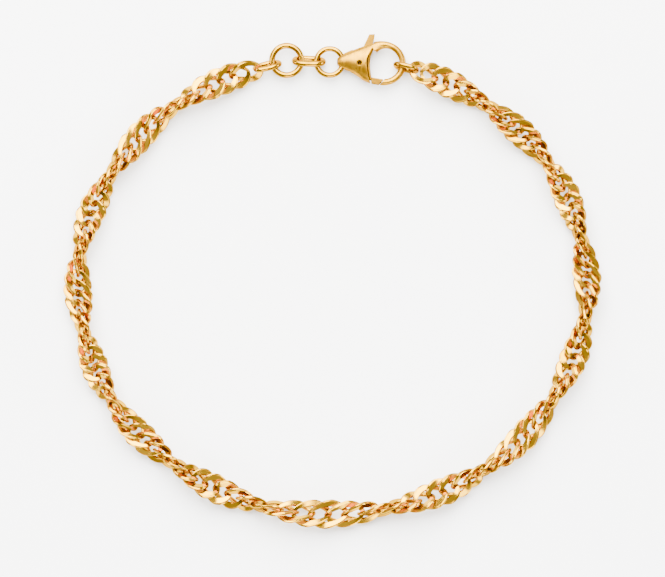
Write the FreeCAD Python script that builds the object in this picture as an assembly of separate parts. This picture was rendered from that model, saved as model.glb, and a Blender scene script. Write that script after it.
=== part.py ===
import FreeCAD, Part
import math
import os

# Singapore chain bracelet, lying closed on a table. Sizes are in millimetres.
# X runs along the clasp, Y points to the clasp's side of the loop and Z is up from the table.

# Loop: the line that the chain follows, an oval with a slightly deeper front half
LOOP_HALF_WIDTH = 31.93
LOOP_BACK_DEPTH = 28.42
LOOP_FRONT_DEPTH = 28.76
LOOP_SHIFT_X = 0.0
LOOP_SHIFT_Y = -0.4
ROUTE_STEPS = 2880

# Chain: flat twisted links, each through the two next to it on either side
LINKS_PER_HALF_TURN = 8
LINK_COUNT = 117
FIRST_LINK_TURN = 0.25
CHAIN_START = 8.65
HALF_TURN_LENGTHS = (11.8, 10.4, 10.3, 10.1, 10.9, 12.3, 13.3, 15.8, 12.6, 11.1, 9.7, 9.9, 10.6, 11.9, 13.2)
LINK_HALF_WIDTH = 1.87
LINK_TIP_WIDTH = 0.46
LINK_SIDE_WIDTH = 0.68
LINK_THICKNESS = 0.44
LINK_FLAT_SHARE = 0.6
LINK_SLACK = 0.13
LINK_SADDLE = 0.28
LINK_OUTER_CURVE = 2.0
LINK_INNER_CURVE = 1.7
LINK_SEGMENTS = 10
END_DIP = 0.20
END_DIP_LINKS = 6

# Jump links, rings and the link between them, all of round wire
HARDWARE_HEIGHT = 1.28
GAP = 0.13
LARGE_RING_X = -5.75
LARGE_RING_Y = 27.80
LARGE_RING_RADIUS = 1.853
LARGE_RING_WIRE = 0.377
SMALL_RING_X = -0.36
SMALL_RING_Y = 27.60
SMALL_RING_RADIUS = 1.664
SMALL_RING_WIRE = 0.345
JUMP_WIRE = 0.33
JUMP_HALF_SPREAD = 0.91
LEFT_JUMP_TURN = 197.0
LEFT_JUMP_LEAN = 68.0
RIGHT_JUMP_TURN = -10.0
RIGHT_JUMP_LEAN = 76.0
RIGHT_JUMP_INSET = 0.12
RIGHT_JUMP_OUTSET = 0.12
CONNECTING_WIRE = 0.36
CONNECTING_HALF_SPREAD = 0.94
CONNECTING_LEAN = 114.0

# Clasp: body and hook in one casting, lever with its thumb tab, and the rivet that the lever turns on
RIVET_X = 3.37
RIVET_Y = 27.47
RIVET_RADIUS = 0.28
RIVET_HALF_LENGTH = 1.02
RIVET_HOLE_RADIUS = 0.31
LEVER_HOLE_RADIUS = 0.33
CLASP_HALF_THICKNESS = 1.25
BODY_SQUARENESS = 0.72
HOOK_CENTRE_X = 3.10
HOOK_CENTRE_Y = -0.06
HOOK_RADIUS = 2.34
HOOK_WIRE = 0.41
HOOK_ROOT_TURN = 94.0
HOOK_TIP_TURN = -125.0
MOUTH_RADIUS = 1.93
NOSE_REACH = 3.62
NOSE_GAP = 0.20
LEVER_HALF_THICKNESS = 0.33
NOSE_HALF_THICKNESS = 0.40
SLOT_HALF_THICKNESS = 0.43
LEVER_BOSS_RADIUS = 0.80
LEVER_BOSS_GAP = 0.12
TIP_HOLE_GAP = 0.12
CUT_MARGIN = 0.2
CUT_REACH = 6.0

# Body stations along the clasp from the rivet: place, middle line, half height, half thickness
BODY_STATIONS = (
    (-2.80, 0.16, 0.34, 0.46),
    (-2.58, 0.17, 0.62, 0.70),
    (-2.05, 0.20, 0.95, 0.88),
    (-1.17, 0.24, 1.33, 1.04),
    (-0.29, 0.15, 1.77, 1.14),
    (0.47, 0.02, 2.19, 1.18),
    (1.35, -0.02, 2.54, 1.16),
    (2.25, -0.03, 2.70, 1.00),
    (3.10, -0.06, 2.75, 0.62),
)

# Outlines on the clasp's middle plane, as x and y from the rivet
BODY_EDGE = (
    (1.72, 2.02),
    (1.45, 1.60),
    (1.15, 1.02),
    (0.92, 0.45),
    (0.83, -0.10),
    (0.86, -0.65),
    (0.97, -1.30),
    (1.20, -1.95),
    (1.50, -2.90),
    (4.00, -2.90),
    (4.00, -0.10),
    (2.00, 1.00),
)
SLOT_OUTLINE = (
    (-0.92, -0.25),
    (-0.92, 0.55),
    (-0.72, 3.40),
    (1.80, 3.40),
    (1.80, -2.33),
    (1.46, -2.33),
    (0.55, -1.88),
    (-0.45, -1.05),
)
LEVER_OUTLINE = (
    (0.15, 0.75),
    (0.59, 2.20),
    (1.20, 3.42),
    (1.42, 3.56),
    (1.88, 3.58),
    (1.80, 2.85),
    (1.66, 2.20),
    (1.60, 1.50),
    (1.50, 0.60),
    (1.45, -0.36),
    (1.47, -1.12),
    (1.53, -1.80),
    (1.75, -2.20),
    (1.40, -2.20),
    (0.60, -1.76),
    (-0.30, -0.72),
)
NOSE_OUTLINE = (
    (1.53, -1.80),
    (3.00, -2.04),
    (3.00, -2.90),
    (1.52, -2.60),
    (1.47, -2.20),
)


def vector(x, y, z):
    return FreeCAD.Vector(x, y, z)


def route_table():
    """Points of the loop, clockwise from the clasp's side, each with its distance along the loop."""
    rows = []
    travelled = 0.0
    before = None
    for step in range(ROUTE_STEPS + 1):
        turn = math.pi / 2 - 2 * math.pi * step / ROUTE_STEPS
        depth = LOOP_BACK_DEPTH if math.sin(turn) > 0 else LOOP_FRONT_DEPTH
        x = LOOP_SHIFT_X + LOOP_HALF_WIDTH * math.cos(turn)
        y = LOOP_SHIFT_Y + depth * math.sin(turn)
        if before:
            travelled += math.hypot(x - before[0], y - before[1])
        rows.append((travelled, x, y))
        before = (x, y)
    return rows


def route_at(rows, distance):
    """Place and direction of the loop at a distance along it."""
    low = 0
    high = len(rows) - 1
    while high - low > 1:
        middle = (low + high) // 2
        if rows[middle][0] <= distance:
            low = middle
        else:
            high = middle
    start, end = rows[low], rows[high]
    share = (distance - start[0]) / (end[0] - start[0])
    place = vector(start[1] + share * (end[1] - start[1]), start[2] + share * (end[2] - start[2]), 0)
    direction = vector(end[1] - start[1], end[2] - start[2], 0)
    direction.normalize()
    return place, direction


def turn_table():
    """Distance along the loop at the end of each half turn of the chain, and the rate there."""
    ends = [CHAIN_START]
    for length in HALF_TURN_LENGTHS:
        ends.append(ends[-1] + length)
    rates = []
    for row in range(len(ends)):
        before = HALF_TURN_LENGTHS[max(row - 1, 0)]
        after = HALF_TURN_LENGTHS[min(row, len(HALF_TURN_LENGTHS) - 1)]
        rates.append((before + after) / 2)
    return ends, rates


def distance_at(ends, rates, turn):
    """Smooth distance along the loop, and its rate, after a number of half turns."""
    row = min(int(turn), len(HALF_TURN_LENGTHS) - 1)
    t = turn - row
    start, end = ends[row], ends[row + 1]
    rate_in, rate_out = rates[row], rates[row + 1]
    distance = (
        (2 * t**3 - 3 * t**2 + 1) * start
        + (t**3 - 2 * t**2 + t) * rate_in
        + (3 * t**2 - 2 * t**3) * end
        + (t**3 - t**2) * rate_out
    )
    rate = (
        (6 * t**2 - 6 * t) * (start - end)
        + (3 * t**2 - 4 * t + 1) * rate_in
        + (3 * t**2 - 2 * t) * rate_out
    )
    return distance, rate


def link_places():
    """One row for each link: middle, direction, face direction, edge direction and pitch."""
    rows = route_table()
    ends, rates = turn_table()
    places = []
    for link in range(LINK_COUNT):
        turn = FIRST_LINK_TURN + link / LINKS_PER_HALF_TURN
        distance, rate = distance_at(ends, rates, turn)
        middle, along = route_at(rows, distance)
        from_end = min(link, LINK_COUNT - 1 - link)
        dip = END_DIP * max(0.0, 1 - from_end / END_DIP_LINKS)
        middle.z = LINK_HALF_WIDTH - dip
        outward = vector(-along.y, along.x, 0)
        angle = math.pi * (turn - 0.5)
        edge = outward * math.cos(angle) + vector(0, 0, math.sin(angle))
        face = along.cross(edge)
        places.append((middle, along, edge, face, rate / LINKS_PER_HALF_TURN))
    return places


def rounded_corner(half_length, half_width, curve, angle):
    """Point of a rounded outline, where curve 2 is an ellipse and more is squarer."""
    c = math.cos(angle)
    s = math.sin(angle)
    x = half_length * math.copysign(abs(c) ** (2 / curve), c)
    y = half_width * math.copysign(abs(s) ** (2 / curve), s)
    return x, y


def link_half_length(pitch):
    return pitch + LINK_TIP_WIDTH + LINK_SLACK / 2


def link_sections(pitch):
    """Six-sided wire sections round one link, as lists of points in the link's own frame."""
    half_length = link_half_length(pitch)
    first_angle = math.pi / LINK_SEGMENTS
    outer_length = half_length / math.cos(first_angle) ** (2 / LINK_OUTER_CURVE)
    inner_length = (half_length - LINK_TIP_WIDTH) / math.cos(first_angle) ** (2 / LINK_INNER_CURVE)
    saddle = 2 * LINK_SADDLE / (half_length * LINK_HALF_WIDTH)
    sections = []
    for step in range(LINK_SEGMENTS):
        angle = first_angle + 2 * math.pi * step / LINK_SEGMENTS
        outer = rounded_corner(outer_length, LINK_HALF_WIDTH, LINK_OUTER_CURVE, angle)
        inner = rounded_corner(inner_length, LINK_HALF_WIDTH - LINK_SIDE_WIDTH, LINK_INNER_CURVE, angle)
        section = []
        for side, height in (
            (1, 0),
            (LINK_FLAT_SHARE, 0.5),
            (-LINK_FLAT_SHARE, 0.5),
            (-1, 0),
            (-LINK_FLAT_SHARE, -0.5),
            (LINK_FLAT_SHARE, -0.5),
        ):
            x = (outer[0] + inner[0]) / 2 + side * (outer[0] - inner[0]) / 2
            y = (outer[1] + inner[1]) / 2 + side * (outer[1] - inner[1]) / 2
            normal = vector(saddle * y, saddle * x, 1)
            normal.normalize()
            section.append(vector(x, y, -saddle * x * y) + normal * (height * LINK_THICKNESS))
        sections.append(section)
    return sections


def solid_from_facets(points, facets):
    shape = Part.Shape()
    shape.makeShapeFromMesh((points, facets), 0.0001)
    solid = Part.Solid(Part.Shell(shape.Faces))
    if solid.Volume < 0:
        solid.reverse()
    return solid


def chain_link(place):
    """One link of the chain as a faceted solid, standing at its place on the loop."""
    middle, along, edge, face, pitch = place
    points = []
    for section in link_sections(pitch):
        for point in section:
            points.append(middle + along * point.x + edge * point.y + face * point.z)
    sides = len(points) // LINK_SEGMENTS
    facets = []
    for step in range(LINK_SEGMENTS):
        after = (step + 1) % LINK_SEGMENTS
        for side in range(sides):
            beside = (side + 1) % sides
            corner = step * sides + side
            corner_after = after * sides + side
            far = after * sides + beside
            near = step * sides + beside
            facets.append((corner, corner_after, far))
            facets.append((corner, far, near))
    return solid_from_facets(points, facets)


def wire_circle(middle, direction, radius):
    return Part.Wire([Part.makeCircle(radius, middle, direction)])


def oval_link(near, far, lean, half_spread, wire):
    """Closed link of round wire. near and far are the wire's middle at its two ends."""
    along = far - near
    reach = along.Length / 2
    along.normalize()
    level = vector(-along.y, along.x, 0)
    level.normalize()
    upright = along.cross(level)
    angle = math.radians(lean)
    across = level * math.cos(angle) + upright * math.sin(angle)
    middle = (near + far) / 2
    straight = reach - half_spread
    corner_a = middle - along * straight + across * half_spread
    corner_b = middle + along * straight + across * half_spread
    corner_c = middle + along * straight - across * half_spread
    corner_d = middle - along * straight - across * half_spread
    edges = [
        Part.LineSegment(corner_a, corner_b).toShape(),
        Part.Arc(corner_b, far, corner_c).toShape(),
        Part.LineSegment(corner_c, corner_d).toShape(),
        Part.Arc(corner_d, near, corner_a).toShape(),
    ]
    path = Part.Wire(edges)
    return path.makePipeShell([wire_circle(corner_a, along, wire)], True, True)


def flat_ring(x, y, radius, wire):
    return Part.makeTorus(radius, wire, vector(x, y, HARDWARE_HEIGHT), vector(0, 0, 1))


def on_plane(x, y, turn, distance, z):
    angle = math.radians(turn)
    return vector(x + distance * math.cos(angle), y + distance * math.sin(angle), z)


def hooking_point(place, end, inset, outset):
    """Where a jump link's wire lies inside the free tip of an end link. end is 1 or -1 along the loop."""
    middle, along, edge, face, pitch = place
    reach = link_half_length(pitch) - LINK_TIP_WIDTH - GAP - JUMP_WIRE - inset
    outward = vector(-along.y, along.x, 0)
    return middle + along * (end * reach) + outward * outset


def jump_link(x, y, turn, ring_radius, ring_wire, far, lean):
    """Jump link from inside a ring or hook at a turn about its middle to a far point in the chain."""
    crossing = on_plane(x, y, turn, ring_radius, HARDWARE_HEIGHT)
    towards = far - crossing
    towards.normalize()
    near = crossing - towards * (ring_wire + GAP + JUMP_WIRE)
    return oval_link(near, far, lean, JUMP_HALF_SPREAD, JUMP_WIRE)


def left_jump_link(places):
    far = hooking_point(places[-1], 1, 0, 0)
    return jump_link(
        LARGE_RING_X, LARGE_RING_Y, LEFT_JUMP_TURN, LARGE_RING_RADIUS, LARGE_RING_WIRE, far, LEFT_JUMP_LEAN
    )


def right_jump_link(places):
    far = hooking_point(places[0], -1, RIGHT_JUMP_INSET, RIGHT_JUMP_OUTSET)
    return jump_link(
        RIVET_X + HOOK_CENTRE_X,
        RIVET_Y + HOOK_CENTRE_Y,
        RIGHT_JUMP_TURN,
        HOOK_RADIUS,
        HOOK_WIRE,
        far,
        RIGHT_JUMP_LEAN,
    )


def connecting_link():
    """Oval link that joins the two rings."""
    large = vector(LARGE_RING_X, LARGE_RING_Y, HARDWARE_HEIGHT)
    small = vector(SMALL_RING_X, SMALL_RING_Y, HARDWARE_HEIGHT)
    along = small - large
    along.normalize()
    near = large + along * (LARGE_RING_RADIUS - LARGE_RING_WIRE - GAP - CONNECTING_WIRE)
    far = small - along * (SMALL_RING_RADIUS - SMALL_RING_WIRE - GAP - CONNECTING_WIRE)
    return oval_link(near, far, CONNECTING_LEAN, CONNECTING_HALF_SPREAD, CONNECTING_WIRE)


def at_rivet(x, y, z=0.0):
    return vector(RIVET_X + x, RIVET_Y + y, HARDWARE_HEIGHT + z)


def body_section(x, middle, half_height, half_thickness):
    """Oval of four arcs across the clasp's body."""
    y = half_height * BODY_SQUARENESS
    z = half_thickness * BODY_SQUARENESS
    top = at_rivet(x, middle, half_thickness)
    bottom = at_rivet(x, middle, -half_thickness)
    back = at_rivet(x, middle + half_height, 0)
    front = at_rivet(x, middle - half_height, 0)
    arcs = [
        Part.Arc(at_rivet(x, middle + y, -z), back, at_rivet(x, middle + y, z)).toShape(),
        Part.Arc(at_rivet(x, middle + y, z), top, at_rivet(x, middle - y, z)).toShape(),
        Part.Arc(at_rivet(x, middle - y, z), front, at_rivet(x, middle - y, -z)).toShape(),
        Part.Arc(at_rivet(x, middle - y, -z), bottom, at_rivet(x, middle + y, -z)).toShape(),
    ]
    return Part.Wire(arcs)


def extruded(corners, half_thickness):
    points = [at_rivet(x, y, -half_thickness) for x, y in corners]
    face = Part.Face(Part.makePolygon(points + points[:1]))
    return face.extrude(vector(0, 0, 2 * half_thickness))


def round_bar(x, y, radius, half_length):
    return Part.makeCylinder(radius, 2 * half_length, at_rivet(x, y, -half_length), vector(0, 0, 1))


def single_solid(shape):
    return max(shape.Solids, key=lambda solid: solid.Volume)


def hook():
    """Round hook from the body's shoulder, round the far end, to the lever's nose."""
    turn = HOOK_ROOT_TURN - HOOK_TIP_TURN
    ring = Part.makeTorus(
        HOOK_RADIUS, HOOK_WIRE, at_rivet(HOOK_CENTRE_X, HOOK_CENTRE_Y), vector(0, 0, 1), -180, 180, turn
    )
    ring.rotate(at_rivet(HOOK_CENTRE_X, HOOK_CENTRE_Y), vector(0, 0, 1), HOOK_TIP_TURN)
    return ring.cut(round_bar(0, 0, NOSE_REACH + NOSE_GAP, CLASP_HALF_THICKNESS).cut(upper_half()))


def upper_half():
    return Part.makeBox(2 * CUT_REACH, CUT_REACH, CUT_REACH, at_rivet(-CUT_REACH, 0, -CUT_REACH / 2))


def mouth_cutter():
    """The round mouth and everything beside the body's curved right edge, up to the hook's shoulder."""
    half_thickness = CLASP_HALF_THICKNESS + CUT_MARGIN
    mouth = round_bar(HOOK_CENTRE_X, HOOK_CENTRE_Y, MOUTH_RADIUS, half_thickness)
    return mouth.fuse(extruded(BODY_EDGE, half_thickness))


def lever_slot():
    """Slot between the body's cheeks, open to the top for the tab and to the mouth for the nose."""
    boss_room = round_bar(0, 0, LEVER_BOSS_RADIUS + LEVER_BOSS_GAP, SLOT_HALF_THICKNESS)
    return extruded(SLOT_OUTLINE, SLOT_HALF_THICKNESS).fuse(boss_room)


def clasp_body():
    """Bulbous body with its hook, the cross hole for the small ring and the slot for the lever."""
    body = Part.makeLoft([body_section(*station) for station in BODY_STATIONS], True, False)
    body = body.cut(mouth_cutter())
    body = body.fuse(hook())
    body = body.cut(lever_slot())
    body = body.cut(round_bar(0, 0, RIVET_HOLE_RADIUS, CLASP_HALF_THICKNESS + CUT_MARGIN))
    cross_hole = flat_ring(SMALL_RING_X, SMALL_RING_Y, SMALL_RING_RADIUS, SMALL_RING_WIRE + TIP_HOLE_GAP)
    return single_solid(body.cut(cross_hole))


def clasp_lever():
    """Flat lever with its boss on the rivet, thumb tab, arm along the mouth and closing nose."""
    nose = extruded(NOSE_OUTLINE, NOSE_HALF_THICKNESS).common(round_bar(0, 0, NOSE_REACH, NOSE_HALF_THICKNESS))
    boss = round_bar(0, 0, LEVER_BOSS_RADIUS, LEVER_HALF_THICKNESS)
    lever = extruded(LEVER_OUTLINE, LEVER_HALF_THICKNESS).fuse(boss).fuse(nose)
    return single_solid(lever.cut(round_bar(0, 0, LEVER_HOLE_RADIUS, CLASP_HALF_THICKNESS)))


def clasp_rivet():
    return round_bar(0, 0, RIVET_RADIUS, RIVET_HALF_LENGTH)


def write_node(name, shape):
    shape.exportStep(os.path.join("parts", name + ".step"))


def main():
    os.makedirs("parts", exist_ok=True)
    places = link_places()
    write_node("chain", Part.makeCompound([chain_link(place) for place in places]))
    write_node("jump_link_left", left_jump_link(places))
    write_node("ring_large", flat_ring(LARGE_RING_X, LARGE_RING_Y, LARGE_RING_RADIUS, LARGE_RING_WIRE))
    write_node("connecting_link", connecting_link())
    write_node("ring_small", flat_ring(SMALL_RING_X, SMALL_RING_Y, SMALL_RING_RADIUS, SMALL_RING_WIRE))
    write_node("clasp_body", clasp_body())
    write_node("clasp_lever", clasp_lever())
    write_node("clasp_rivet", clasp_rivet())
    write_node("jump_link_right", right_jump_link(places))


if __name__ == "__main__":
    main()
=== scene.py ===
import math
import random

import bpy
from mathutils import Matrix, Vector


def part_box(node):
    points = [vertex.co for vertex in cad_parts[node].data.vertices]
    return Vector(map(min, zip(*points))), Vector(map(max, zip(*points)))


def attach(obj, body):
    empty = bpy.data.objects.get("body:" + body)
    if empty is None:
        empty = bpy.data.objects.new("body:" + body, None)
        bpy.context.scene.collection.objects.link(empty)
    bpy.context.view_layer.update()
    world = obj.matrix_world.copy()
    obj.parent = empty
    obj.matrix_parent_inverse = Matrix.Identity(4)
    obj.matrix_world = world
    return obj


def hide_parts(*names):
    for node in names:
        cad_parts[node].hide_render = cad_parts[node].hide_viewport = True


bl_info = {
    "name": "Singapore chain bracelet",
    "version": (1, 0, 0),
    "blender": (4, 5, 0),
    "location": "3D View > Sidebar > Bracelet",
    "description": "Gold bracelet of flat twisted links with rings and a lobster clasp",
    "category": "Object",
}

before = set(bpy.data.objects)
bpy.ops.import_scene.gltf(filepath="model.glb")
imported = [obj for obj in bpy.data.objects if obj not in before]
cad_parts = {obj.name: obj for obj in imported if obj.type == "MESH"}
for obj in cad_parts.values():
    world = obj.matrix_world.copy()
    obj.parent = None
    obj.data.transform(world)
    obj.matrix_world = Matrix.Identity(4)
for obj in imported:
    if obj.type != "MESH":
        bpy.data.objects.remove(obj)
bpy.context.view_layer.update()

# Lengths in this file are millimetres, and meshes are scaled to metres when they are made
MM = 0.001

# Loop: the line that the chain follows, an oval with a slightly deeper front half
LOOP_HALF_WIDTH = 31.93
LOOP_BACK_DEPTH = 28.42
LOOP_FRONT_DEPTH = 28.76
LOOP_SHIFT_Y = -0.4
ROUTE_STEPS = 2880

# Chain: links an eighth of a half turn apart, and the length of each half turn
LINKS_PER_HALF_TURN = 8
LINK_COUNT = 117
FIRST_LINK_TURN = 0.25
CHAIN_START = 8.65
HALF_TURN_LENGTHS = (11.8, 10.4, 10.3, 10.1, 10.9, 12.3, 13.3, 15.8, 12.6, 11.1, 9.7, 9.9, 10.6, 11.9, 13.2)
LINK_SLACK = 0.13
LINK_SADDLE = 0.40
LINK_SLANT = -0.24
LINK_OUTER_CURVE = 1.65
LINK_INNER_CURVE = 1.55
LINK_STEPS = 44
LINK_SWAY = 3.0
END_DIP = 0.20
END_DIP_LINKS = 6
TONE_SEED = 11
CREASE_ANGLE = 26.0

# One face of the flat wire's section, from its outer to its inner edge, as shares of its size.
# The bright flat lies towards the inside and leaves a low rounded rim along the outside.
LINK_SECTION = (
    (1.0, 0.0),
    (0.97, 0.18),
    (0.86, 0.30),
    (0.66, 0.36),
    (0.56, 0.5),
    (-0.80, 0.5),
    (-0.92, 0.40),
    (-1.0, 0.15),
)

# Jump links and connecting link: turns and leans in degrees
GAP = 0.13
JUMP_HALF_SPREAD = 0.91
LEFT_JUMP_TURN = 197.0
LEFT_JUMP_LEAN = 68.0
RIGHT_JUMP_TURN = -10.0
RIGHT_JUMP_LEAN = 76.0
RIGHT_JUMP_INSET = 0.12
RIGHT_JUMP_OUTSET = 0.12
CONNECTING_HALF_SPREAD = 0.94
CONNECTING_LEAN = 114.0
WIRE_SECTION_POINTS = 24
OVAL_STEPS = 96
OVAL_CURVE = 2.4
RING_STEPS = 120

# Clasp, with places taken from the rivet
HOOK_CENTRE = (3.10, -0.06)
HOOK_RADIUS = 2.34
HOOK_WIRE = 0.41
HOOK_ROOT_TURN = 124.0
HOOK_TIP_TURN = -125.0
HOOK_STEPS = 90
HOOK_FLARE = 0.34
HOOK_FLARE_TURN = 62.0
MOUTH_RADIUS = 1.93
NOSE_REACH = 3.70
NOSE_GAP = 0.03
BODY_CURVE = 2.15
BODY_RINGS = 60
BODY_POINTS = 64
RIVET_HOLE_RADIUS = 0.31
LEVER_HOLE_RADIUS = 0.33
LEVER_BOSS_RADIUS = 0.80
LEVER_BOSS_GAP = 0.12
LEVER_HALF_THICKNESS = 0.33
LEVER_WEB_HALF_THICKNESS = 0.10
LEVER_RIM_RADIUS = 0.19
RIM_STEPS_BETWEEN = 8
NOSE_HALF_THICKNESS = 0.40
SLOT_HALF_THICKNESS = 0.43
CLASP_HALF_THICKNESS = 1.25
TIP_HOLE_GAP = 0.12
CUT_MARGIN = 0.2
ROUND_STEPS = 96
CAST_VOXEL = 0.04
CAST_SMOOTHING = 2
LEVER_VOXEL = 0.035
LEVER_SMOOTHING = 2
SMOOTHING_STRENGTH = 0.5
RIVET_DISH = 0.55

# Body stations along the clasp: place, middle line, half height, half thickness
BODY_STATIONS = (
    (-2.80, 0.16, 0.34, 0.46),
    (-2.58, 0.17, 0.62, 0.70),
    (-2.05, 0.20, 0.95, 0.88),
    (-1.17, 0.24, 1.33, 1.04),
    (-0.29, 0.15, 1.77, 1.14),
    (0.47, 0.02, 2.19, 1.18),
    (1.35, -0.02, 2.54, 1.16),
    (2.25, -0.03, 2.70, 1.00),
    (3.10, -0.06, 2.75, 0.62),
)

# Outlines on the clasp's middle plane
BODY_EDGE = (
    (1.64, 1.92),
    (1.45, 1.60),
    (1.15, 1.02),
    (0.92, 0.45),
    (0.83, -0.10),
    (0.86, -0.65),
    (0.97, -1.30),
    (1.20, -1.95),
    (1.50, -2.90),
    (4.00, -2.90),
    (4.00, -0.10),
    (1.80, 1.62),
)
SLOT_OUTLINE = (
    (-0.92, -0.25),
    (-0.92, 0.55),
    (-0.72, 3.40),
    (1.80, 3.40),
    (1.80, -2.33),
    (1.46, -2.33),
    (0.55, -1.88),
    (-0.45, -1.05),
)
LEVER_OUTLINE = (
    (0.15, 0.75),
    (0.59, 2.20),
    (1.24, 3.60),
    (1.96, 3.63),
    (1.84, 2.85),
    (1.66, 2.20),
    (1.54, 1.50),
    (1.26, 0.60),
    (1.20, -0.36),
    (1.27, -1.12),
    (1.45, -1.80),
    (1.75, -2.20),
    (1.40, -2.20),
    (0.60, -1.76),
    (-0.30, -0.72),
)
LEVER_TAB_OUTLINE = (
    (0.50, 1.90),
    (0.59, 2.20),
    (1.24, 3.60),
    (1.96, 3.63),
    (1.84, 2.85),
    (1.66, 2.20),
    (1.64, 1.90),
)
LEVER_RIM_LINE = (
    (1.55, 2.20),
    (1.55, 1.62),
    (1.27, 0.90),
    (1.16, 0.20),
    (1.16, -0.36),
    (1.23, -1.12),
    (1.34, -1.80),
    (1.48, -2.10),
)
NOSE_OUTLINE = (
    (1.53, -1.80),
    (3.00, -2.04),
    (3.00, -2.90),
    (1.52, -2.60),
    (1.47, -2.20),
)

# Rivet end, as shares of its radius, from the dish's floor to its outer edge
RIVET_CENTRE = 0.02
RIVET_FLOOR = 0.55
RIVET_LIP = 0.75
RIVET_CHAMFER = 0.15

# Noise: the range that the noise mostly keeps to, and where its clouds begin and end
NOISE_LEAST = 0.3
NOISE_MOST = 0.7
CLOUD_START = 0.35
CLOUD_END = 0.65

# Metal: colour of its rims, cloudiness and polishing marks
RIM_TINT = (0.9, 0.62, 0.2, 1)
CLOUD_SCALE = 900
CLOUD_DETAIL = 3
MARK_SCALE = 5200
MARK_DETAIL = 4
MARK_STRETCH = (1, 0.12, 1)
MARK_STRENGTH = 0.6
SMOOTHEST_SHARE = 0.75
ROUGHEST_SHARE = 1.3

# Finishes: depth of the marks, roughness, and the tone that deepens the gold's red, green and blue
WIRE_GRAIN = 0.003
WIRE_TONE = (0.73, 0.69, 0.5)
CAST_GRAIN = 0.004
CAST_ROUGHNESS = 0.33
CAST_TONE = (0.73, 0.67, 0.4)
LEVER_GRAIN = 0.006
LEVER_ROUGHNESS = 0.32
LEVER_TONE = (0.50, 0.45, 0.3)
RIVET_GRAIN = 0.004
RIVET_ROUGHNESS = 0.3
# The rivet's tone is painted shade: it darkens the gold to about a fifth, as if the rivet were shaded down
# its hole
RIVET_PAINTED_SHADE_TONE = (0.2, 0.17, 0.2)

# Cut flats of the chain
CUT_MARK_SCALE = 4200
CUT_MARK_STRETCH = (1, 1, 0.2)
CUT_MARK_DEPTH = 0.004
CUT_MARK_STRENGTH = 0.5
CUT_SMOOTHEST = 0.12
CUT_ROUGHEST = 0.2

# Tabletop
TABLE_DULL = (0.90, 0.895, 0.885)
TABLE_PALE = (0.93, 0.93, 0.925)
TABLE_CLOUD_SCALE = 9
TABLE_CLOUD_DETAIL = 4
TABLE_GRAIN_SCALE = 1800
TABLE_GRAIN_DETAIL = 5
TABLE_GRAIN_DEPTH = 0.01
TABLE_GRAIN_STRENGTH = 0.3
TABLE_SMOOTHEST = 0.55
TABLE_ROUGHEST = 0.7

# Lights: places and sizes of the square softboxes, all turned to the middle of the loop
KEY_PLACE = (-40, 330, 420)
KEY_SIZE = 600
FILL_PLACE = (60, -420, 260)
FILL_SIZE = 260
LEFT_PLACE = (-430, 40, 180)
RIGHT_PLACE = (430, 90, 180)
SIDE_SIZE = 150
SIDE_SHARE = 0.6

# Stage: the picture takes in 83.5 mm of the table from straight above
PICTURE_WIDTH = 83.5
PICTURE_MIDDLE_Y = -0.84
CAMERA_HEIGHT = 600.0
SENSOR_WIDTH = 36.0
CAMERA_NEAR = 0.01
CAMERA_FAR = 10
FLOOR_SIZE = 1600.0

# Light tent: brightness from the horizon, height 0, to straight above, height 1, where it is open
TENT_BRIGHTNESS = (
    (0.0, 0.5),
    (0.30, 0.8),
    (0.70, 1.0),
    (0.89, 0.9),
    (0.96, 0.22),
    (1.0, 0.10),
)


def node_middle(node):
    """Middle of a node of the frame, in millimetres."""
    low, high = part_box(node)
    return (Vector(low) + Vector(high)) / (2 * MM)


def node_size(node):
    low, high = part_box(node)
    return (Vector(high) - Vector(low)) / MM


def ring_sizes(node):
    """Middle of a flat ring, the radius of its wire's middle line and the wire's own radius."""
    size = node_size(node)
    wire = size.z / 2
    return node_middle(node), size.x / 2 - wire, wire


RIVET = node_middle("clasp_rivet")


def route_table():
    """Points of the loop, clockwise from the clasp's side, each with its distance along the loop."""
    rows = []
    travelled = 0.0
    before = None
    for step in range(ROUTE_STEPS + 1):
        turn = math.pi / 2 - 2 * math.pi * step / ROUTE_STEPS
        depth = LOOP_BACK_DEPTH if math.sin(turn) > 0 else LOOP_FRONT_DEPTH
        point = Vector((LOOP_HALF_WIDTH * math.cos(turn), LOOP_SHIFT_Y + depth * math.sin(turn), 0))
        if before:
            travelled += (point - before).length
        rows.append((travelled, point))
        before = point
    return rows


def route_at(rows, distance):
    """Place and direction of the loop at a distance along it."""
    low = 0
    high = len(rows) - 1
    while high - low > 1:
        middle = (low + high) // 2
        if rows[middle][0] <= distance:
            low = middle
        else:
            high = middle
    start, end = rows[low], rows[high]
    share = (distance - start[0]) / (end[0] - start[0])
    return start[1].lerp(end[1], share), (end[1] - start[1]).normalized()


def turn_table():
    """Distance along the loop at the end of each half turn of the chain, and the rate there."""
    ends = [CHAIN_START]
    for length in HALF_TURN_LENGTHS:
        ends.append(ends[-1] + length)
    rates = []
    for row in range(len(ends)):
        before = HALF_TURN_LENGTHS[max(row - 1, 0)]
        after = HALF_TURN_LENGTHS[min(row, len(HALF_TURN_LENGTHS) - 1)]
        rates.append((before + after) / 2)
    return ends, rates


def smooth_between(start, rate_in, end, rate_out, t):
    """Value at a share t of the way from start to end, with a rate of change given at both."""
    return (
        (2 * t**3 - 3 * t**2 + 1) * start
        + (t**3 - 2 * t**2 + t) * rate_in
        + (3 * t**2 - 2 * t**3) * end
        + (t**3 - t**2) * rate_out
    )


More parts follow.
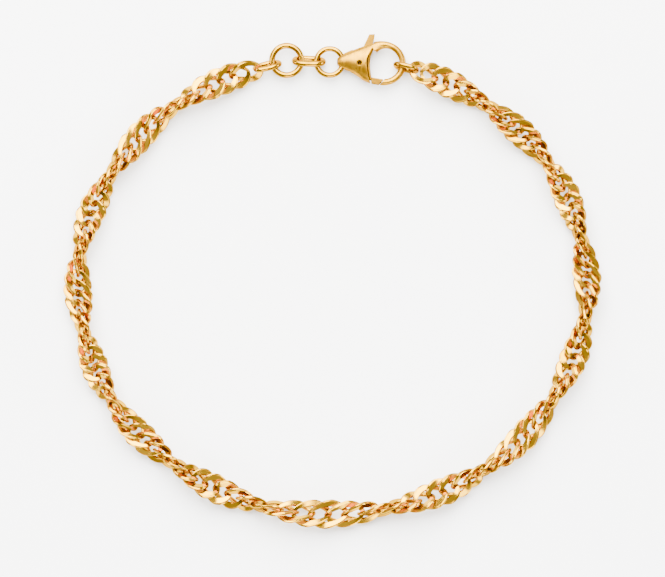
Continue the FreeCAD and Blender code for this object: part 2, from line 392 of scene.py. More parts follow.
def distance_at(ends, rates, turn):
    """Smooth distance along the loop, and its rate, after a number of half turns."""
    row = min(int(turn), len(HALF_TURN_LENGTHS) - 1)
    t = turn - row
    start, end = ends[row], ends[row + 1]
    rate_in, rate_out = rates[row], rates[row + 1]
    distance = smooth_between(start, rate_in, end, rate_out, t)
    rate = (
        (6 * t**2 - 6 * t) * (start - end)
        + (3 * t**2 - 4 * t + 1) * rate_in
        + (3 * t**2 - 2 * t) * rate_out
    )
    return distance, rate


def link_places(half_width):
    """One row for each link: middle, direction, edge direction, face direction and pitch."""
    rows = route_table()
    ends, rates = turn_table()
    places = []
    for link in range(LINK_COUNT):
        turn = FIRST_LINK_TURN + link / LINKS_PER_HALF_TURN
        distance, rate = distance_at(ends, rates, turn)
        middle, along = route_at(rows, distance)
        from_end = min(link, LINK_COUNT - 1 - link)
        middle.z = half_width - END_DIP * max(0.0, 1 - from_end / END_DIP_LINKS)
        angle = math.pi * (turn - 0.5)
        outward = Vector((-along.y, along.x, 0))
        edge = outward * math.cos(angle) + Vector((0, 0, math.sin(angle)))
        places.append((middle, along, edge, along.cross(edge), rate / LINKS_PER_HALF_TURN))
    return places


def rounded_corner(half_length, half_width, curve, angle):
    """Point of a rounded outline, where curve 2 is an ellipse and more is squarer."""
    cosine = math.cos(angle)
    sine = math.sin(angle)
    x = half_length * math.copysign(abs(cosine) ** (2 / curve), cosine)
    y = half_width * math.copysign(abs(sine) ** (2 / curve), sine)
    return x, y


def link_half_length(settings, pitch):
    return pitch + settings.tip_width / MM + LINK_SLACK / 2


def whole_section():
    """The flat wire's section all the way round: its upper face, then the same face mirrored below."""
    below = [(side, -height) for side, height in reversed(LINK_SECTION[1:])]
    return list(LINK_SECTION) + below


def link_sections(settings, place):
    """Flat wire sections round one link, at its place on the loop."""
    middle, along, edge, face, pitch = place
    half_length = link_half_length(settings, pitch)
    half_width = settings.link_width / (2 * MM)
    saddle = 2 * LINK_SADDLE / (half_length * half_width)
    sections = []
    for step in range(LINK_STEPS):
        angle = 2 * math.pi * step / LINK_STEPS
        outer = rounded_corner(half_length, half_width, LINK_OUTER_CURVE, angle)
        inner = rounded_corner(
            half_length - settings.tip_width / MM,
            half_width - settings.side_width / MM,
            LINK_INNER_CURVE,
            angle,
        )
        section = []
        for side, height in whole_section():
            x = (outer[0] + inner[0]) / 2 + side * (outer[0] - inner[0]) / 2
            y = (outer[1] + inner[1]) / 2 + side * (outer[1] - inner[1]) / 2
            normal = Vector((saddle * y, saddle * x, 1)).normalized()
            point = Vector((x, y, -saddle * x * y)) + normal * (height * settings.thickness / MM)
            point.x += LINK_SLANT * point.y
            section.append(middle + along * point.x + edge * point.y + face * point.z)
        sections.append(section)
    return sections


def closed_tube(sections, first=0):
    """Points and four-sided faces of a tube that closes on itself."""
    sides = len(sections[0])
    points = [point for section in sections for point in section]
    faces = []
    for step in range(len(sections)):
        after = (step + 1) % len(sections)
        for side in range(sides):
            beside = (side + 1) % sides
            faces.append(
                (
                    first + step * sides + side,
                    first + after * sides + side,
                    first + after * sides + beside,
                    first + step * sides + beside,
                )
            )
    return points, faces


def open_tube(sections):
    """Points and faces of a tube with a flat cap at each end."""
    points, faces = closed_tube(sections)
    sides = len(sections[0])
    faces = faces[:-sides]
    faces.append(tuple(range(sides)))
    faces.append(tuple(reversed(range(len(points) - sides, len(points)))))
    return points, faces


def new_object(name, points, faces, scale=MM):
    mesh = bpy.data.meshes.new(name)
    mesh.from_pydata([Vector(point) * scale for point in points], [], faces)
    mesh.update()
    made = bpy.data.objects.new(name, mesh)
    bpy.context.scene.collection.objects.link(made)
    return made


def outward_normals(made):
    """Turns a closed mesh's faces outwards, by the sign of its volume."""
    mesh = made.data
    volume = 0.0
    for polygon in mesh.polygons:
        volume += polygon.center.dot(polygon.normal) * polygon.area
    if volume < 0:
        mesh.flip_normals()
    return made


def finished_piece(made, material, body, node, crease=None):
    """Gives a piece its finish and hands it to the frame in place of its node."""
    outward_normals(made)
    made.data.shade_smooth()
    if crease:
        made.data.set_sharp_from_angle(angle=math.radians(crease))
    made.data.materials.clear()
    made.data.materials.append(material)
    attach(made, body)
    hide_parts(node)
    return made


def wire_sections(points, tangents, plane, radii):
    """Round wire sections along a path that lies in one plane, with one radius for each point."""
    sections = []
    for point, tangent, radius in zip(points, tangents, radii):
        beside = tangent.cross(plane)
        section = []
        for corner in range(WIRE_SECTION_POINTS):
            around = 2 * math.pi * corner / WIRE_SECTION_POINTS
            section.append(point + (plane * math.cos(around) + beside * math.sin(around)) * radius)
        sections.append(section)
    return sections


def ring_piece(name, middle, radius, wire):
    points = []
    tangents = []
    for step in range(RING_STEPS):
        turn = 2 * math.pi * step / RING_STEPS
        points.append(middle + Vector((math.cos(turn), math.sin(turn), 0)) * radius)
        tangents.append(Vector((-math.sin(turn), math.cos(turn), 0)))
    sections = wire_sections(points, tangents, Vector((0, 0, 1)), [wire] * len(points))
    return new_object(name, *closed_tube(sections))


def oval_link(name, near, far, lean, half_spread, wire):
    """Closed link of round wire. near and far are the wire's middle at its two ends."""
    along = (far - near).normalized()
    level = Vector((-along.y, along.x, 0)).normalized()
    upright = along.cross(level)
    across = level * math.cos(math.radians(lean)) + upright * math.sin(math.radians(lean))
    middle = (near + far) / 2
    half_length = (far - near).length / 2
    points = []
    for step in range(OVAL_STEPS):
        x, y = rounded_corner(half_length, half_spread, OVAL_CURVE, -2 * math.pi * step / OVAL_STEPS)
        points.append(middle + along * x + across * y)
    tangents = []
    for step in range(OVAL_STEPS):
        tangents.append((points[(step + 1) % OVAL_STEPS] - points[step - 1]).normalized())
    plane = along.cross(across)
    return new_object(name, *closed_tube(wire_sections(points, tangents, plane, [wire] * len(points))))


def at_rivet(x, y, z=0.0):
    return RIVET + Vector((x, y, z))


def hooking_point(settings, place, end, inset, outset, wire):
    """Where a jump link's wire lies inside the free tip of an end link. end is 1 or -1 along the loop."""
    middle, along, _edge, _face, pitch = place
    reach = link_half_length(settings, pitch) - settings.tip_width / MM - GAP - wire - inset
    return middle + along * (end * reach) + Vector((-along.y, along.x, 0)) * outset


def jump_link(name, middle, turn, ring_radius, ring_wire, far, lean, wire):
    """Jump link from inside a ring or hook, at a turn about its middle, to a far point in the chain."""
    angle = math.radians(turn)
    crossing = middle + Vector((math.cos(angle), math.sin(angle), 0)) * ring_radius
    towards = (far - crossing).normalized()
    near = crossing - towards * (ring_wire + GAP + wire)
    return oval_link(name, near, far, lean, JUMP_HALF_SPREAD, wire)


def smooth_station(x):
    """Middle line, half height and half thickness of the clasp's body at a place between its stations."""
    row = 0
    while row < len(BODY_STATIONS) - 2 and BODY_STATIONS[row + 1][0] < x:
        row += 1
    before = BODY_STATIONS[max(row - 1, 0)]
    start = BODY_STATIONS[row]
    end = BODY_STATIONS[row + 1]
    after = BODY_STATIONS[min(row + 2, len(BODY_STATIONS) - 1)]
    t = (x - start[0]) / (end[0] - start[0])
    sizes = []
    for column in (1, 2, 3):
        slope_in = (end[column] - before[column]) / (end[0] - before[0]) * (end[0] - start[0])
        slope_out = (after[column] - start[column]) / (after[0] - start[0]) * (end[0] - start[0])
        sizes.append(smooth_between(start[column], slope_in, end[column], slope_out, t))
    return sizes


def clasp_shell():
    """Bulbous body, without its mouth, slot or holes."""
    first = BODY_STATIONS[0][0]
    last = BODY_STATIONS[-1][0]
    sections = []
    for ring in range(BODY_RINGS + 1):
        x = first + (last - first) * ring / BODY_RINGS
        middle, half_height, half_thickness = smooth_station(x)
        section = []
        for corner in range(BODY_POINTS):
            around = 2 * math.pi * corner / BODY_POINTS
            y, z = rounded_corner(half_height, half_thickness, BODY_CURVE, around)
            section.append(at_rivet(x, middle + y, z))
        sections.append(section)
    return outward_normals(new_object("clasp_body", *open_tube(sections), scale=1))


def hook_piece():
    """Round hook from inside the body's shoulder, round the far end, to the nose."""
    middle = at_rivet(*HOOK_CENTRE)
    points = []
    tangents = []
    radii = []
    for step in range(HOOK_STEPS + 1):
        turn = HOOK_ROOT_TURN + (HOOK_TIP_TURN - HOOK_ROOT_TURN) * step / HOOK_STEPS
        from_root = min(1.0, (HOOK_ROOT_TURN - turn) / HOOK_FLARE_TURN)
        radii.append(HOOK_WIRE + HOOK_FLARE * (1 - from_root) ** 2)
        turn = math.radians(turn)
        points.append(middle + Vector((math.cos(turn), math.sin(turn), 0)) * HOOK_RADIUS)
        tangents.append(Vector((math.sin(turn), -math.cos(turn), 0)))
    sections = wire_sections(points, tangents, Vector((0, 0, 1)), radii)
    return outward_normals(new_object("hook", *open_tube(sections), scale=1))


def prism(name, outline, half_thickness):
    """Upright block with an outline given from the rivet, on the clasp's middle plane."""
    count = len(outline)
    points = [at_rivet(x, y, -half_thickness) for x, y in outline]
    points += [at_rivet(x, y, half_thickness) for x, y in outline]
    faces = [tuple(range(count)), tuple(reversed(range(count, 2 * count)))]
    for corner in range(count):
        beside = (corner + 1) % count
        faces.append((corner, corner + count, beside + count, beside))
    return outward_normals(new_object(name, points, faces, scale=1))


def rim_piece():
    """Round rim along the lever's side of the mouth, which closes the hook's ring."""
    line = [at_rivet(x, y) for x, y in LEVER_RIM_LINE]
    points = []
    for row in range(len(line) - 1):
        before = line[max(row - 1, 0)]
        start = line[row]
        end = line[row + 1]
        after = line[min(row + 2, len(line) - 1)]
        for step in range(RIM_STEPS_BETWEEN):
            t = step / RIM_STEPS_BETWEEN
            bend = (end - before) * (t**3 - 2 * t**2 + t) / 2 + (after - start) * (t**3 - t**2) / 2
            points.append(start.lerp(end, 3 * t**2 - 2 * t**3) + bend)
    points.append(line[-1])
    tangents = []
    for row in range(len(points)):
        tangents.append((points[min(row + 1, len(points) - 1)] - points[max(row - 1, 0)]).normalized())
    sections = wire_sections(points, tangents, Vector((0, 0, 1)), [LEVER_RIM_RADIUS] * len(points))
    return outward_normals(new_object("rim", *open_tube(sections), scale=1))


def circle_outline(x, y, radius, start=0.0, end=360.0):
    """Outline of a round bar, or of a sector when it starts and ends short of a whole turn."""
    whole = end - start == 360.0
    steps = ROUND_STEPS if whole else ROUND_STEPS + 1
    outline = []
    for step in range(steps):
        turn = math.radians(start + (end - start) * step / ROUND_STEPS)
        outline.append((x + radius * math.cos(turn), y + radius * math.sin(turn)))
    if not whole:
        outline.append((x, y))
    return outline


def combine(made, other, operation):
    """Joins, cuts or keeps the overlap of a piece with another, which is used up."""
    step = made.modifiers.new(operation.lower(), "BOOLEAN")
    step.operation = operation
    step.solver = "EXACT"
    step.object = other
    settle(made)
    bpy.data.objects.remove(other)


def hooked_body():
    """Clasp's body with its mouth cut out and its hook joined on."""
    cut_height = CLASP_HALF_THICKNESS + CUT_MARGIN
    made = clasp_shell()
    combine(made, prism("mouth", circle_outline(*HOOK_CENTRE, MOUTH_RADIUS), cut_height), "DIFFERENCE")
    combine(made, prism("body edge", BODY_EDGE, cut_height), "DIFFERENCE")
    hook = hook_piece()
    nose_room = circle_outline(0, 0, NOSE_REACH + NOSE_GAP, -90, 0)
    combine(hook, prism("nose room", nose_room, cut_height), "DIFFERENCE")
    combine(made, hook, "UNION")
    return made


def cut_lever_room(made):
    """Cuts the lever's slot, the room for its boss and the hole for the rivet."""
    combine(made, prism("slot", SLOT_OUTLINE, SLOT_HALF_THICKNESS), "DIFFERENCE")
    boss_room = circle_outline(0, 0, LEVER_BOSS_RADIUS + LEVER_BOSS_GAP)
    combine(made, prism("boss room", boss_room, SLOT_HALF_THICKNESS), "DIFFERENCE")
    rivet_hole = circle_outline(0, 0, RIVET_HOLE_RADIUS)
    combine(made, prism("rivet hole", rivet_hole, CLASP_HALF_THICKNESS + CUT_MARGIN), "DIFFERENCE")


def cut_ring_hole(made):
    """Cuts the hole across the narrow end, along the small ring's wire."""
    middle, radius, wire = ring_sizes("ring_small")
    ring_hole = ring_piece("ring hole", middle, radius, wire + TIP_HOLE_GAP)
    for vertex in ring_hole.data.vertices:
        vertex.co /= MM
    combine(made, outward_normals(ring_hole), "DIFFERENCE")


def joined_lever():
    """Clasp's lever: a thin web with its tab, rim, boss and nose, and the hole for the rivet."""
    made = prism("lever", LEVER_OUTLINE, LEVER_WEB_HALF_THICKNESS)
    combine(made, prism("tab", LEVER_TAB_OUTLINE, LEVER_HALF_THICKNESS), "UNION")
    combine(made, rim_piece(), "UNION")
    boss = circle_outline(0, 0, LEVER_BOSS_RADIUS)
    combine(made, prism("boss", boss, LEVER_HALF_THICKNESS), "UNION")
    nose = prism("nose", NOSE_OUTLINE, NOSE_HALF_THICKNESS)
    reach = circle_outline(0, 0, NOSE_REACH)
    combine(nose, prism("reach", reach, CLASP_HALF_THICKNESS), "INTERSECT")
    combine(made, nose, "UNION")
    hole = circle_outline(0, 0, LEVER_HOLE_RADIUS)
    combine(made, prism("hole", hole, CLASP_HALF_THICKNESS), "DIFFERENCE")
    return made


def rivet_profile(radius, half_length):
    """Reach and height along the rivet, from the dish in its upper end to the one in its lower end."""
    floor = half_length - RIVET_DISH
    upper = [
        (radius * RIVET_CENTRE, floor),
        (radius * RIVET_FLOOR, floor),
        (radius * RIVET_LIP, half_length),
        (radius, half_length - radius * RIVET_CHAMFER),
    ]
    return upper + [(reach, -height) for reach, height in reversed(upper)]


def settle(made):
    """Makes a piece's modifiers part of its mesh."""
    graph = bpy.context.evaluated_depsgraph_get()
    mesh = bpy.data.meshes.new_from_object(made.evaluated_get(graph))
    if not mesh.polygons:
        raise RuntimeError(made.name + " has no faces left")
    made.modifiers.clear()
    made.data = mesh


def soften(made, voxel, smoothing):
    """Rounds a piece's edges as casting and polishing do, then brings it to metres."""
    remesh = made.modifiers.new("even mesh", "REMESH")
    remesh.mode = "VOXEL"
    remesh.voxel_size = voxel
    polish = made.modifiers.new("polish", "SMOOTH")
    polish.factor = SMOOTHING_STRENGTH
    polish.iterations = smoothing
    settle(made)
    for vertex in made.data.vertices:
        vertex.co *= MM
    made.data.update()


def new_material(name):
    material = bpy.data.materials.new(name)
    material.use_nodes = True
    nodes = material.node_tree.nodes
    nodes.clear()
    output = nodes.new("ShaderNodeOutputMaterial")
    shader = nodes.new("ShaderNodeBsdfPrincipled")
    material.node_tree.links.new(shader.outputs["BSDF"], output.inputs["Surface"])
    return material, shader


def add_noise(material, scale, detail, stretch=(1, 1, 1)):
    """Noise in the piece's own coordinates, which stay put when the piece moves."""
    tree = material.node_tree
    place = tree.nodes.new("ShaderNodeTexCoord")
    mapping = tree.nodes.new("ShaderNodeMapping")
    noise = tree.nodes.new("ShaderNodeTexNoise")
    mapping.inputs["Scale"].default_value = stretch
    noise.inputs["Scale"].default_value = scale
    noise.inputs["Detail"].default_value = detail
    tree.links.new(place.outputs["Object"], mapping.inputs["Vector"])
    tree.links.new(mapping.outputs["Vector"], noise.inputs["Vector"])
    return noise.outputs["Fac"]


def add_ramp(material, source, low, high, start=CLOUD_START, end=CLOUD_END):
    """Colour that goes from low to high as the source rises from start to end."""
    ramp = material.node_tree.nodes.new("ShaderNodeValToRGB")
    ramp.color_ramp.elements[0].position = start
    ramp.color_ramp.elements[0].color = (*low, 1)
    ramp.color_ramp.elements[1].position = end
    ramp.color_ramp.elements[1].color = (*high, 1)
    material.node_tree.links.new(source, ramp.inputs["Fac"])
    return ramp.outputs["Color"]


def add_range(material, source, low, high):
    """Number that goes from low to high as the source goes from its usual least to its usual most."""
    node = material.node_tree.nodes.new("ShaderNodeMapRange")
    node.inputs["From Min"].default_value = NOISE_LEAST
    node.inputs["From Max"].default_value = NOISE_MOST
    node.inputs["To Min"].default_value = low
    node.inputs["To Max"].default_value = high
    material.node_tree.links.new(source, node.inputs["Value"])
    return node.outputs["Result"]


def add_bumps(material, shader, source, distance, strength):
    bump = material.node_tree.nodes.new("ShaderNodeBump")
    bump.inputs["Distance"].default_value = distance
    bump.inputs["Strength"].default_value = strength
    material.node_tree.links.new(source, bump.inputs["Height"])
    material.node_tree.links.new(bump.outputs["Normal"], shader.inputs["Normal"])


def polished_metal(shader):
    """Metal whose rims stay yellow instead of turning white."""
    shader.inputs["Metallic"].default_value = 1
    shader.inputs["Specular Tint"].default_value = RIM_TINT


def gold(name, settings, roughness, grain, tone):
    """Polished yellow gold with faint cloudiness and hairline marks. A tone under 1 deepens it."""
    material, shader = new_material(name)
    tree = material.node_tree
    clouds = add_noise(material, CLOUD_SCALE, CLOUD_DETAIL)
    deep = [part * share for part, share in zip(settings.deep_gold, tone)]
    pale = [part * share for part, share in zip(settings.pale_gold, tone)]
    colour = add_ramp(material, clouds, deep, pale)
    tree.links.new(colour, shader.inputs["Base Color"])
    polished_metal(shader)
    marks = add_noise(material, MARK_SCALE, MARK_DETAIL, MARK_STRETCH)
    rough = add_range(material, marks, roughness * SMOOTHEST_SHARE, roughness * ROUGHEST_SHARE)
    tree.links.new(rough, shader.inputs["Roughness"])
    add_bumps(material, shader, marks, grain * MM, MARK_STRENGTH)
    return material


def cut_gold(settings):
    """Gold of the chain: bright cut flats, each link a little deeper or paler than the next."""
    material, shader = new_material("cut_gold")
    tree = material.node_tree
    tone = tree.nodes.new("ShaderNodeAttribute")
    tone.attribute_name = "tone"
    colour = add_ramp(material, tone.outputs["Fac"], settings.deep_gold, settings.pale_gold, 0.0, 1.0)
    tree.links.new(colour, shader.inputs["Base Color"])
    polished_metal(shader)
    marks = add_noise(material, CUT_MARK_SCALE, MARK_DETAIL, CUT_MARK_STRETCH)
    rough = add_range(material, marks, CUT_SMOOTHEST, CUT_ROUGHEST)
    tree.links.new(rough, shader.inputs["Roughness"])
    add_bumps(material, shader, marks, CUT_MARK_DEPTH * MM, CUT_MARK_STRENGTH)
    return material


def tabletop():
    """Pale matt tabletop with a trace of unevenness."""
    material, shader = new_material("tabletop")
    tree = material.node_tree
    clouds = add_noise(material, TABLE_CLOUD_SCALE, TABLE_CLOUD_DETAIL)
    colour = add_ramp(material, clouds, TABLE_DULL, TABLE_PALE)
    tree.links.new(colour, shader.inputs["Base Color"])
    grain = add_noise(material, TABLE_GRAIN_SCALE, TABLE_GRAIN_DETAIL)
    rough = add_range(material, grain, TABLE_SMOOTHEST, TABLE_ROUGHEST)
    tree.links.new(rough, shader.inputs["Roughness"])
    add_bumps(material, shader, grain, TABLE_GRAIN_DEPTH * MM, TABLE_GRAIN_STRENGTH)
    return material


def softbox(name, place, size, energy):
    """Square light that faces the middle of the loop."""
    light = bpy.data.lights.new(name, "AREA")
    light.shape = "SQUARE"
    light.size = size * MM
    light.energy = energy
    made = bpy.data.objects.new(name, light)
    made.location = Vector(place) * MM
    made.rotation_euler = (-made.location).to_track_quat("-Z", "Y").to_euler()
    made.visible_camera = False
    bpy.context.scene.collection.objects.link(made)
    return made


class GoldSettings(bpy.types.PropertyGroup):
    """Colours of the gold."""

    pale_gold: bpy.props.FloatVectorProperty(
        name="Pale gold",
        description="Colour of the gold where it is palest",
        subtype="COLOR",
        size=3,
        min=0,
        max=1,
        default=(0.54, 0.285, 0.008),
    )
    deep_gold: bpy.props.FloatVectorProperty(
        name="Deep gold",
        description="Colour of the gold where it is deepest",
        subtype="COLOR",
        size=3,
        min=0,
        max=1,
        default=(0.36, 0.182, 0.003),
    )
    polish: bpy.props.FloatProperty(
        name="Roughness",
        description="Roughness of the polished wire, from mirror to matt",
        subtype="FACTOR",
        min=0,
        max=1,
        default=0.15,
    )


class ChainSettings(bpy.types.PropertyGroup):
    """Sizes of the chain's links."""

    link_width: bpy.props.FloatProperty(
        name="Link width",
        description="Width of a link across the chain",
        unit="LENGTH",
        precision=5,
        default=0.00374,
    )
    tip_width: bpy.props.FloatProperty(
        name="Tip width",
        description="Width of the flat wire at a link's tips",
        unit="LENGTH",
        precision=5,
        default=0.00046,
    )
    side_width: bpy.props.FloatProperty(
        name="Side width",
        description="Width of the flat wire along a link's sides",
        unit="LENGTH",
        precision=5,
        default=0.00092,
    )
    thickness: bpy.props.FloatProperty(
        name="Thickness",
        description="Thickness of the flat wire",
        unit="LENGTH",
        precision=5,
        default=0.00042,
    )


class WireSettings(bpy.types.PropertyGroup):
    """Sizes of the jump links and the connecting link."""

    jump_wire: bpy.props.FloatProperty(
        name="Jump link wire",
        description="Radius of the wire of the two jump links",
        unit="LENGTH",
        precision=5,
        default=0.00033,
    )
    connecting_wire: bpy.props.FloatProperty(
        name="Connecting link wire",
        description="Radius of the wire of the link between the two rings",
        unit="LENGTH",
        precision=5,
        default=0.00036,
    )


class StageSettings(bpy.types.PropertyGroup):
    """Light of the stage."""

    key_energy: bpy.props.FloatProperty(
        name="Key light",
        description="Power of the large light behind the clasp's side",
        unit="POWER",
        min=0,
        default=33.0,
    )
    fill_energy: bpy.props.FloatProperty(
        name="Fill light",
        description="Power of the light on the other side",
        unit="POWER",
        min=0,
        default=3.0,
    )
    sky: bpy.props.FloatProperty(
        name="Surroundings",
        description="Brightness of the surroundings",
        subtype="FACTOR",
        min=0,
        max=4,
        default=1.2,
    )


class BRACELET_OT_chain(bpy.types.Operator):
    """Make the twisted chain of flat links"""

    bl_idname = "bracelet.chain"
    bl_label = "Chain"

    def execute(self, context):
        settings = context.scene.bracelet_chain
        tones = random.Random(TONE_SEED)
        points = []
        faces = []
        tone = []
        for place in link_places(settings.link_width / (2 * MM)):
            middle, along, edge, face, pitch = place
            sway = Matrix.Rotation(math.radians(tones.uniform(-LINK_SWAY, LINK_SWAY)), 3, along)
            swayed = (middle, along, sway @ edge, sway @ face, pitch)
            link_points, link_faces = closed_tube(link_sections(settings, swayed), len(points))
            points += link_points
            faces += link_faces
            tone += [tones.random()] * len(link_points)
        made = new_object("chain_links", points, faces)
        made.data.attributes.new("tone", "FLOAT", "POINT").data.foreach_set("value", tone)
        material = cut_gold(context.scene.bracelet_gold)
        finished_piece(made, material, "bracelet", "chain", CREASE_ANGLE)
        return {"FINISHED"}


class BRACELET_OT_rings(bpy.types.Operator):
    """Make the large and the small ring"""

    bl_idname = "bracelet.rings"
    bl_label = "Rings"

    def execute(self, context):
        finish = context.scene.bracelet_gold
        material = gold("ring_gold", finish, finish.polish, WIRE_GRAIN, WIRE_TONE)
        for node in ("ring_large", "ring_small"):
            made = ring_piece(node + "_wire", *ring_sizes(node))
            finished_piece(made, material, "bracelet", node)
        return {"FINISHED"}


class BRACELET_OT_wire_links(bpy.types.Operator):
    """Make the two jump links and the connecting link"""

    bl_idname = "bracelet.wire_links"
    bl_label = "Wire links"

    def execute(self, context):
        chain = context.scene.bracelet_chain
        settings = context.scene.bracelet_wire
        finish = context.scene.bracelet_gold
        material = gold("link_gold", finish, finish.polish, WIRE_GRAIN, WIRE_TONE)
        places = link_places(chain.link_width / (2 * MM))
        wire = settings.jump_wire / MM
        left = self.left_jump_link(chain, places[-1], wire)
        right = self.right_jump_link(chain, places[0], wire)
        joining = self.connecting_link(settings.connecting_wire / MM)
        finished_piece(left, material, "bracelet", "jump_link_left")
        finished_piece(right, material, "bracelet", "jump_link_right")
        finished_piece(joining, material, "bracelet", "connecting_link")
        return {"FINISHED"}

    def left_jump_link(self, chain, place, wire):
        middle, radius, ring_wire = ring_sizes("ring_large")
        return jump_link(
            "jump_left_wire",
            middle,
            LEFT_JUMP_TURN,
            radius,
            ring_wire,
            hooking_point(chain, place, 1, 0, 0, wire),
            LEFT_JUMP_LEAN,
            wire,
        )

    def right_jump_link(self, chain, place, wire):
        return jump_link(
            "jump_right_wire",
            at_rivet(*HOOK_CENTRE),
            RIGHT_JUMP_TURN,
            HOOK_RADIUS,
            HOOK_WIRE,
            hooking_point(chain, place, -1, RIGHT_JUMP_INSET, RIGHT_JUMP_OUTSET, wire),
            RIGHT_JUMP_LEAN,
            wire,
        )

    def connecting_link(self, wire):
        large, large_radius, large_wire = ring_sizes("ring_large")
        small, small_radius, small_wire = ring_sizes("ring_small")
        along = (small - large).normalized()
        near = large + along * (large_radius - large_wire - GAP - wire)
        far = small - along * (small_radius - small_wire - GAP - wire)
        return oval_link("connecting_wire", near, far, CONNECTING_LEAN, CONNECTING_HALF_SPREAD, wire)


class BRACELET_OT_clasp_body(bpy.types.Operator):
    """Make the clasp's cast body and hook"""

    bl_idname = "bracelet.clasp_body"
    bl_label = "Clasp body"

    def execute(self, context):
        made = hooked_body()
        cut_lever_room(made)
        cut_ring_hole(made)
        soften(made, CAST_VOXEL, CAST_SMOOTHING)
        finish = context.scene.bracelet_gold
        material = gold("cast_gold", finish, CAST_ROUGHNESS, CAST_GRAIN, CAST_TONE)
        made.name = "clasp_casting"
        finished_piece(made, material, "bracelet", "clasp_body")
        return {"FINISHED"}


class BRACELET_OT_clasp_lever(bpy.types.Operator):
    """Make the clasp's lever with its tab and nose"""

    bl_idname = "bracelet.clasp_lever"
    bl_label = "Clasp lever"

    def execute(self, context):
        made = joined_lever()
        soften(made, LEVER_VOXEL, LEVER_SMOOTHING)
        finish = context.scene.bracelet_gold
        material = gold("lever_gold", finish, LEVER_ROUGHNESS, LEVER_GRAIN, LEVER_TONE)
        made.name = "lever_plate"
        finished_piece(made, material, "lever", "clasp_lever")
        return {"FINISHED"}


class BRACELET_OT_clasp_rivet(bpy.types.Operator):
    """Make the rivet with its dished ends"""

    bl_idname = "bracelet.clasp_rivet"
    bl_label = "Clasp rivet"

    def execute(self, context):
        size = node_size("clasp_rivet")
        sections = []
        for reach, height in rivet_profile(size.x / 2, size.z / 2):
            section = []
            for step in range(ROUND_STEPS):
                turn = 2 * math.pi * step / ROUND_STEPS
                section.append(at_rivet(reach * math.cos(turn), reach * math.sin(turn), height))
            sections.append(section)
        made = new_object("rivet_pin", *open_tube(sections))
        finish = context.scene.bracelet_gold
        # The rivet's gold carries painted shade from its tone
        material = gold("rivet_gold_painted_shade", finish, RIVET_ROUGHNESS, RIVET_GRAIN, RIVET_PAINTED_SHADE_TONE)
        finished_piece(made, material, "bracelet", "clasp_rivet")
        return {"FINISHED"}


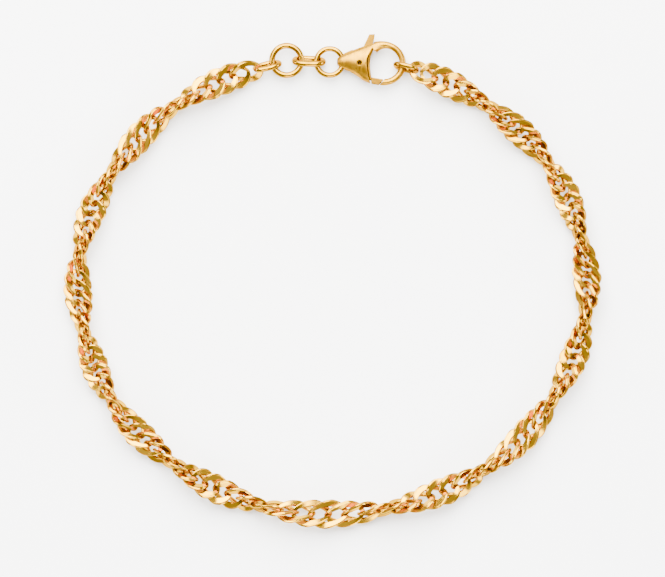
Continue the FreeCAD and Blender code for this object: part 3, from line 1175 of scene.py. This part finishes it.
class BRACELET_OT_stage(bpy.types.Operator):
    """Make the table, the lights and the camera"""

    bl_idname = "bracelet.stage"
    bl_label = "Stage"

    def execute(self, context):
        settings = context.scene.bracelet_stage
        half = FLOOR_SIZE / 2
        corners = [(-half, -half, 0), (half, -half, 0), (half, half, 0), (-half, half, 0)]
        floor = new_object("table", corners, [(0, 1, 2, 3)])
        floor.data.materials.append(tabletop())
        softbox("key light", KEY_PLACE, KEY_SIZE, settings.key_energy)
        softbox("fill light", FILL_PLACE, FILL_SIZE, settings.fill_energy)
        softbox("left light", LEFT_PLACE, SIDE_SIZE, settings.fill_energy * SIDE_SHARE)
        softbox("right light", RIGHT_PLACE, SIDE_SIZE, settings.fill_energy * SIDE_SHARE)
        self.surroundings(context.scene, settings.sky)
        self.camera(context.scene)
        return {"FINISHED"}

    def surroundings(self, scene, brightness):
        world = bpy.data.worlds.new("surroundings")
        world.use_nodes = True
        tree = world.node_tree
        direction = tree.nodes.new("ShaderNodeTexCoord")
        parts = tree.nodes.new("ShaderNodeSeparateXYZ")
        ramp = tree.nodes.new("ShaderNodeValToRGB")
        tree.links.new(direction.outputs["Generated"], parts.inputs["Vector"])
        tree.links.new(parts.outputs["Z"], ramp.inputs["Fac"])
        elements = ramp.color_ramp.elements
        while len(elements) < len(TENT_BRIGHTNESS):
            elements.new(1)
        for element, (height, value) in zip(elements, TENT_BRIGHTNESS):
            element.position = height
            element.color = (value, value, value, 1)
        background = tree.nodes["Background"]
        tree.links.new(ramp.outputs["Color"], background.inputs["Color"])
        background.inputs["Strength"].default_value = brightness
        scene.world = world

    def camera(self, scene):
        lens = bpy.data.cameras.new("camera")
        lens.sensor_width = SENSOR_WIDTH
        lens.lens = SENSOR_WIDTH * CAMERA_HEIGHT / PICTURE_WIDTH
        lens.clip_start = CAMERA_NEAR
        lens.clip_end = CAMERA_FAR
        camera = bpy.data.objects.new("camera", lens)
        camera.location = Vector((0, PICTURE_MIDDLE_Y, CAMERA_HEIGHT + RIVET.z)) * MM
        scene.collection.objects.link(camera)
        scene.camera = camera


class BRACELET_PT_panel(bpy.types.Panel):
    """Sidebar panel that lists the bracelet's settings and its pieces"""

    bl_idname = "BRACELET_PT_panel"
    bl_label = "Bracelet"
    bl_space_type = "VIEW_3D"
    bl_region_type = "UI"
    bl_category = "Bracelet"

    def draw(self, context):
        for group, settings_class in SETTINGS.items():
            settings = getattr(context.scene, group)
            for field in settings_class.__annotations__:
                self.layout.prop(settings, field)
        for operator in OPERATORS:
            self.layout.operator(operator.bl_idname)


SETTINGS = {
    "bracelet_gold": GoldSettings,
    "bracelet_chain": ChainSettings,
    "bracelet_wire": WireSettings,
    "bracelet_stage": StageSettings,
}
OPERATORS = (
    BRACELET_OT_chain,
    BRACELET_OT_rings,
    BRACELET_OT_wire_links,
    BRACELET_OT_clasp_body,
    BRACELET_OT_clasp_lever,
    BRACELET_OT_clasp_rivet,
    BRACELET_OT_stage,
)


def register():
    for group, settings_class in SETTINGS.items():
        bpy.utils.register_class(settings_class)
        setattr(bpy.types.Scene, group, bpy.props.PointerProperty(type=settings_class))
    for made_class in (*OPERATORS, BRACELET_PT_panel):
        bpy.utils.register_class(made_class)


def unregister():
    for made_class in (BRACELET_PT_panel, *reversed(OPERATORS)):
        bpy.utils.unregister_class(made_class)
    for group, settings_class in SETTINGS.items():
        delattr(bpy.types.Scene, group)
        bpy.utils.unregister_class(settings_class)


def main():
    register()
    bpy.ops.bracelet.chain()
    bpy.ops.bracelet.rings()
    bpy.ops.bracelet.wire_links()
    bpy.ops.bracelet.clasp_body()
    bpy.ops.bracelet.clasp_lever()
    bpy.ops.bracelet.clasp_rivet()
    bpy.ops.bracelet.stage()


if __name__ == "__main__":
    main()
